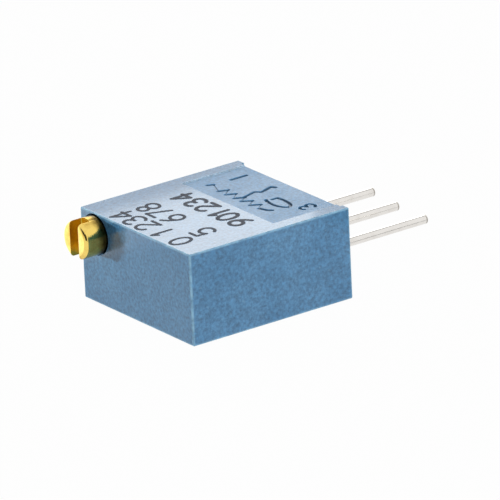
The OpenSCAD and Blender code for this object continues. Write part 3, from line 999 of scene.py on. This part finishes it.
@dataclass
class Potting:
    """The resin that closes the pin end: slightly dished, and drawn up the pins and walls.

    The solid's top is that of the trough round the screw's bore, which rises above the wall.
    """

    wall_y: float = 4.265
    climb: float = 0.10
    creep: float = 0.05
    reach: float = 0.12
    dish: float = 0.05
    dish_edge: float = 0.8
    trough_r: float = 0.75
    trough_rise: float = 0.12
    overshoot: float = 0.5
    margin: float = 0.2
    grid: tuple[int, int] = (150, 68)
    turn_steps: int = 64
    placing: Placing = Placing("resin_fill", Body.CASE, "epoxy", ("potting_seal",))

    def __post_init__(self) -> None:
        """Reads the solid's corners."""
        self.low, self.high = (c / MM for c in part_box("potting_seal"))
        self.wall_z = self.high.z - self.trough_rise

    def surface_x(self, y: float, z: float) -> float:
        """The X of the resin's face at a point of Y and Z."""
        pins = min(math.hypot(y - k * PIN_PITCH, z) - WIRE_R for k in (-1, 0, 1))
        walls = max(min(self.wall_y - abs(y), z - self.low.z, self.wall_z - z), 0.0)
        climb = self.climb * math.exp(-max(pins, 0.0) / self.reach)
        creep = self.creep * math.exp(-walls / self.reach)
        hollow = self.dish * (1 - (y / self.wall_y) ** 4) * min(walls / self.dish_edge, 1.0)
        return self.high.x - hollow + max(climb, creep)

    def _slab(self) -> Shape:
        """Makes a block of resin, larger than the opening, under the shaped face."""
        bm = bmesh.new()
        across, up = self.grid
        made = bmesh.ops.create_grid(bm, x_segments=across, y_segments=up, size=1.0)["verts"]
        for axis in "YX":
            turn = Matrix.Rotation(math.radians(90), 3, axis)
            bmesh.ops.rotate(bm, cent=(0, 0, 0), matrix=turn, verts=made)
        half_z = (self.high.z - self.low.z) / 2 + self.margin
        bmesh.ops.scale(bm, vec=(1.0, self.wall_y + self.margin, half_z), verts=made)
        bmesh.ops.translate(bm, vec=(0, 0, (self.low.z + self.high.z) / 2), verts=made)
        for vert in made:
            vert.co.x = self.surface_x(vert.co.y, vert.co.z)
        rim = [e for e in bm.edges if e.is_boundary]
        back = bmesh.ops.extrude_edge_only(bm, edges=rim)["geom"]
        for vert in (g for g in back if isinstance(g, bmesh.types.BMVert)):
            vert.co.x = self.low.x - self.overshoot
        close(bm)
        bmesh.ops.recalc_face_normals(bm, faces=bm.faces)
        return bm

    def build(self) -> Shape:
        """Makes the resin's shape, cut to the opening's outline."""
        start, end = self.low.x, self.overshoot
        opening = block((start, -self.wall_y, self.low.z), (end, self.wall_y, self.wall_z))
        profile = [(start, 0.0), (start, self.trough_r), (end, self.trough_r), (end, 0.0)]
        trough = lathe(profile, SCREW_YZ, self.turn_steps)
        return work(self._slab(), work(opening, trough, Cut.ADD), Cut.KEEP_SHARED)

    def dress(self) -> None:
        """Builds and places the resin."""
        self.placing.place(self.build(), [RESIN.make()])


@dataclass
class InnerWorks:
    """Finishes for the pieces that the body hides, each named as its slot."""

    finishes: tuple[PlainFinish, ...] = (
        PlainFinish("seal_rubber", (0.022, 0.022, 0.024), (0.035, 0.034, 0.034), (0.5, 0.7)),
        PlainFinish(
            "spring_steel", (0.60, 0.60, 0.61), (0.48, 0.48, 0.50), (0.25, 0.4), 1.0,
            stretch=(1.0, 0.2, 1.0),
        ),
        PlainFinish("natural_plastic", (0.78, 0.74, 0.62), (0.70, 0.66, 0.54), (0.35, 0.5)),
        PlainFinish(
            "contact_metal", (0.80, 0.70, 0.46), (0.72, 0.60, 0.36), (0.18, 0.32), 1.0,
            stretch=(0.2, 1.0, 1.0),
        ),
        PlainFinish(
            "alumina", (0.86, 0.85, 0.80), (0.80, 0.79, 0.74), (0.6, 0.8), grain_per_mm=30.0
        ),
        PlainFinish("cermet", (0.035, 0.035, 0.035), (0.060, 0.058, 0.055), (0.35, 0.6)),
        PlainFinish("conductor", (0.66, 0.65, 0.62), (0.54, 0.53, 0.50), (0.35, 0.55), 1.0),
        PlainFinish("solder", (0.58, 0.59, 0.60), (0.48, 0.49, 0.50), (0.2, 0.4), 1.0),
        PlainFinish("dark_plastic", (0.030, 0.030, 0.034), (0.045, 0.045, 0.050), (0.4, 0.55)),
    )

    def dress(self) -> None:
        """Gives each hidden solid the finish of its slot."""
        made = {finish.name: finish.make() for finish in self.finishes}
        for part in frame["record"]["subparts"]:
            slot = part["material_slot"]
            if slot not in made:
                continue
            solid = frame["nodes"][part["node"]]
            solid.data.materials.clear()
            solid.data.materials.append(made[slot])
            LOG.info("%s: finish %s", part["node"], slot)


# --- Studio ---


@dataclass(frozen=True)
class Softbox:
    """A large soft lamp that faces the part. Its distance and its size are in metres."""

    name: str
    azimuth: float
    elevation: float
    distance: float
    size: Flat
    radiance: float
    tint: Colour = WHITE
    in_gloss: bool = False

    def hang(self, target: Vector) -> None:
        """Adds the lamp, which faces a point in metres."""
        out = outward(self.azimuth, self.elevation)
        light = bpy.data.lights.new(self.name, "AREA")
        light.shape = "RECTANGLE"
        light.size, light.size_y = self.size
        light.energy = self.radiance * math.pi * self.size[0] * self.size[1]
        light.color = self.tint
        lamp = show(self.name, light)
        lamp.location = target + out * self.distance
        lamp.rotation_euler = out.to_track_quat("Z", "Y").to_euler()
        lamp.visible_camera = False
        lamp.visible_glossy = self.in_gloss


@dataclass(frozen=True)
class Card:
    """A plain card near the part that only shows in its gloss: dark, or lit when it glows.

    The place and the size are in millimetres, and the card faces the given direction.
    """

    name: str
    place: Point
    faces: Point
    size: Flat
    glow: Colour = (0.02, 0.02, 0.02)

    def hang(self) -> None:
        """Adds the card."""
        card = sheet(self.name, (self.size[0] * MM, self.size[1] * MM))
        card.location = Vector(self.place) * MM
        card.rotation_euler = Vector(self.faces).to_track_quat("Z", "Y").to_euler()
        board = Paint(self.name)
        board.set("Base Color", BLACK)
        board.set("Emission Color", self.glow)
        board.set("Emission Strength", 1.0)
        board.set("Roughness", 1.0)
        card.data.materials.append(board.material)
        card.visible_camera = False
        card.visible_diffuse = False
        card.visible_shadow = False


@dataclass
class Studio:
    """Camera, floor, surroundings, lamps and cards.

    The camera's angles are in degrees. Its distance and its shift are in millimetres from the
    middle of the body's seat, and the floor's side is in metres.
    """

    azimuth: float = -35.314
    elevation: float = 20.678
    roll: float = -2.688
    distance: float = 447.425
    shift: Flat = (2.439, -1.220)
    lens: float = 626.7384
    sensor: float = 36.0
    clip: Flat = (0.01, 10.0)
    ambient: float = 0.20
    lit_point: Point = (-5.0, 0.0, 0.0)
    floor_side: float = 1.0
    floor_gap: float = 0.01
    floor_reach: float = 0.08
    seen_glow: float = 0.98
    mirrored_glow: float = 0.95
    softboxes: tuple[Softbox, ...] = (
        Softbox("back_box", 144.7, 26.0, 0.50, (0.70, 0.36), 2.4, (0.93, 0.95, 0.965), True),
        Softbox("left_box", -140.0, 1.2, 0.40, (0.08, 0.02), 256.0, (1.0, 0.98, 0.94)),
        Softbox("front_box", -6.0, 27.0, 0.60, (0.36, 0.36), 7.8),
        Softbox("under_box", -30.0, -60.0, 0.40, (0.30, 0.30), 3.0),
    )
    cards: tuple[Card, ...] = (
        Card("far_card", (-5.0, 9.0, 1.8), (0.0, -1.0, 0.0), (34.0, 7.7), (1.6, 1.6, 1.65)),
        Card("end_card", (11.8, 8.9, 10.3), (0.0, -1.0, 0.0), (8.4, 5.4), (1.7, 1.7, 1.75)),
        Card("side_card", (54.0, 10.0, 76.0), (-0.54, -0.1, -0.83), (18.0, 30.0), (0.4, 0.4, 0.4)),
        Card("low_card", (14.0, -13.0, -1.9), (0.0, 0.0, 1.0), (16.0, 8.0), (0.3, 0.3, 0.3)),
        Card("left_card", (-95.0, -30.0, 62.0), (0.81, 0.27, -0.52), (90.0, 70.0)),
        Card("front_card", (-70.0, -85.0, 42.0), (0.54, 0.76, -0.35), (120.0, 80.0)),
    )

    def __post_init__(self) -> None:
        """Reads the height of the body's underside, in metres."""
        self.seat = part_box("housing")[0].z

    def aim(self) -> None:
        """Sets up the camera."""
        back = outward(self.azimuth, self.elevation)
        level = Vector((0, 0, 1)).cross(back).normalized()
        upright = back.cross(level)
        roll = math.radians(self.roll)
        right = math.cos(roll) * level + math.sin(roll) * upright
        up = -math.sin(roll) * level + math.cos(roll) * upright
        away = -self.shift[0] * right - self.shift[1] * up + self.distance * back
        eye = Vector((0, 0, self.seat)) + away * MM
        data = bpy.data.cameras.new("camera")
        data.sensor_width = self.sensor
        data.lens = self.lens
        data.clip_start, data.clip_end = self.clip
        camera = show("camera", data)
        turn = Matrix((right, up, back)).transposed()
        camera.matrix_world = Matrix.Translation(eye) @ turn.to_4x4()
        bpy.context.scene.camera = camera

    def surround(self) -> None:
        """Makes the world: white where it is seen or mirrored, softer as a light."""
        world = bpy.data.worlds.new("surroundings")
        bpy.context.scene.world = world
        board = NodeBoard(world)
        ray = board.add("ShaderNodeLightPath").outputs
        seen = board.math("MAXIMUM", ray["Is Camera Ray"], ray["Is Glossy Ray"])
        seen = board.math("MAXIMUM", seen, ray["Is Transmission Ray"])
        strength = board.level(seen, self.ambient, 1.0, 0.0, 1.0)
        sky = board.add("ShaderNodeBackground", {"Color": WHITE, "Strength": strength})
        board.add("ShaderNodeOutputWorld", {"Surface": sky.outputs["Background"]})

    def lay_floor(self) -> None:
        """Lays the white floor under the part."""
        floor = sheet("floor", (self.floor_side, self.floor_side))
        floor.location.z = self.seat - self.floor_gap * MM
        floor.data.materials.append(self._floor_finish())

    def _floor_finish(self) -> Material:
        """White card that stays white to the eye and keeps the part's shadow.

        From below it is clear, and so it is to the underside that lies on it, so that the
        part's underside can be seen and is lit.
        """
        material = bpy.data.materials.new("white_card")
        board = NodeBoard(material)
        ray = board.add("ShaderNodeLightPath").outputs
        looked_at = board.math("MULTIPLY", ray["Is Camera Ray"], self.seen_glow)
        mirrored = board.math("MULTIPLY", ray["Is Glossy Ray"], self.mirrored_glow)
        lying = board.math("LESS_THAN", ray["Ray Length"], self.floor_reach * MM)
        behind = board.add("ShaderNodeNewGeometry").outputs["Backfacing"]
        card = board.add("ShaderNodeBsdfDiffuse", {"Color": GREY}).outputs[0]
        glow = board.add("ShaderNodeEmission", {"Color": WHITE}).outputs[0]
        clear = board.add("ShaderNodeBsdfTransparent").outputs[0]
        lit = board.blend(board.math("MAXIMUM", looked_at, mirrored), card, glow)
        seen = board.blend(board.math("MAXIMUM", behind, lying), lit, clear)
        board.add("ShaderNodeOutputMaterial", {"Surface": seen})
        return material

    def set_up(self) -> None:
        """Puts the whole studio in place."""
        bpy.context.scene.view_settings.view_transform = "Standard"
        self.aim()
        self.surround()
        self.lay_floor()
        for softbox in self.softboxes:
            softbox.hang(Vector(self.lit_point) * MM)
        for card in self.cards:
            card.hang()
        count = (len(self.softboxes), len(self.cards))
        LOG.info("studio: camera, floor, %d lamps and %d cards", *count)


def main() -> None:
    """Builds the studio and the part in order."""
    logging.basicConfig(level=logging.INFO, format="%(name)s: %(message)s")
    Studio().set_up()
    Housing().dress()
    InkMarking().dress()
    AdjustingScrew().dress()
    TerminalPins().dress()
    Potting().dress()
    InnerWorks().dress()


if __name__ == "__main__":
    main()
